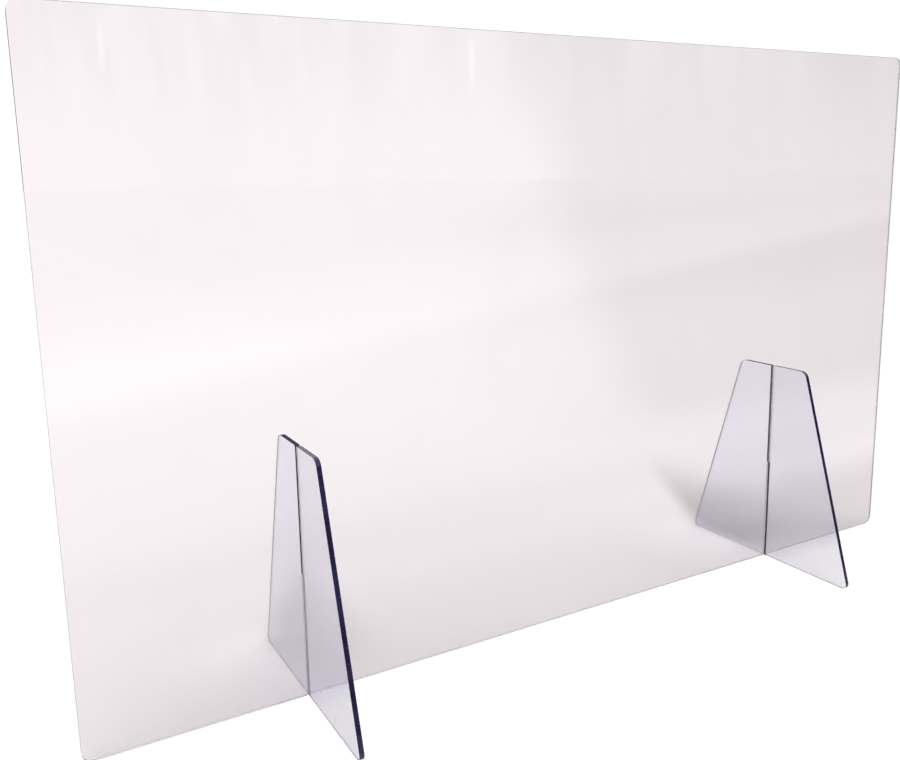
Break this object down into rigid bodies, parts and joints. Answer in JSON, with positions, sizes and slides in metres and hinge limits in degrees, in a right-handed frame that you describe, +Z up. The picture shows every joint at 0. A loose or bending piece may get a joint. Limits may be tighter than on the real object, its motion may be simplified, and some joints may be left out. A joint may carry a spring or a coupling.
{
  "type": "sneeze guard",
  "caption": "Clear upright panel that stands on a counter in slotted trapezium feet, held by cross laps without any fasteners.",
  "frame": {"origin": "on the counter, under the middle of the panel", "axes": "+X along the panel, +Y from one side of the panel to the other, the way people look through it, +Z up"},
  "size_m": [1.016, 0.237, 0.6096],
  "materials": {
    "panel_sheet": "clear polycarbonate sheet with a faint violet-grey tint, glossy faces, darker cut edges",
    "foot_sheet": "clear polycarbonate sheet with a faint lavender tint, glossy faces, dark violet-navy cut edges"
  },
  "bodies": {
    "left_foot": {"left_foot": "foot_sheet"},
    "panel": {"panel": "panel_sheet"},
    "right_foot": {"right_foot": "foot_sheet"}
  },
  "joints": [
    {"name": "panel_lift", "type": "slide", "parent": "left_foot", "child": "panel", "axis": [0, 0, 1], "range_m": [0, 0.25]},
    {"name": "right_foot_stay", "type": "slide", "parent": "panel", "child": "right_foot", "axis": [0, 0, -1], "range_m": [0, 0.25]}
  ],
  "couplings": [
    {"joint": "right_foot_stay", "follows": "panel_lift", "ratio": 1}
  ]
}
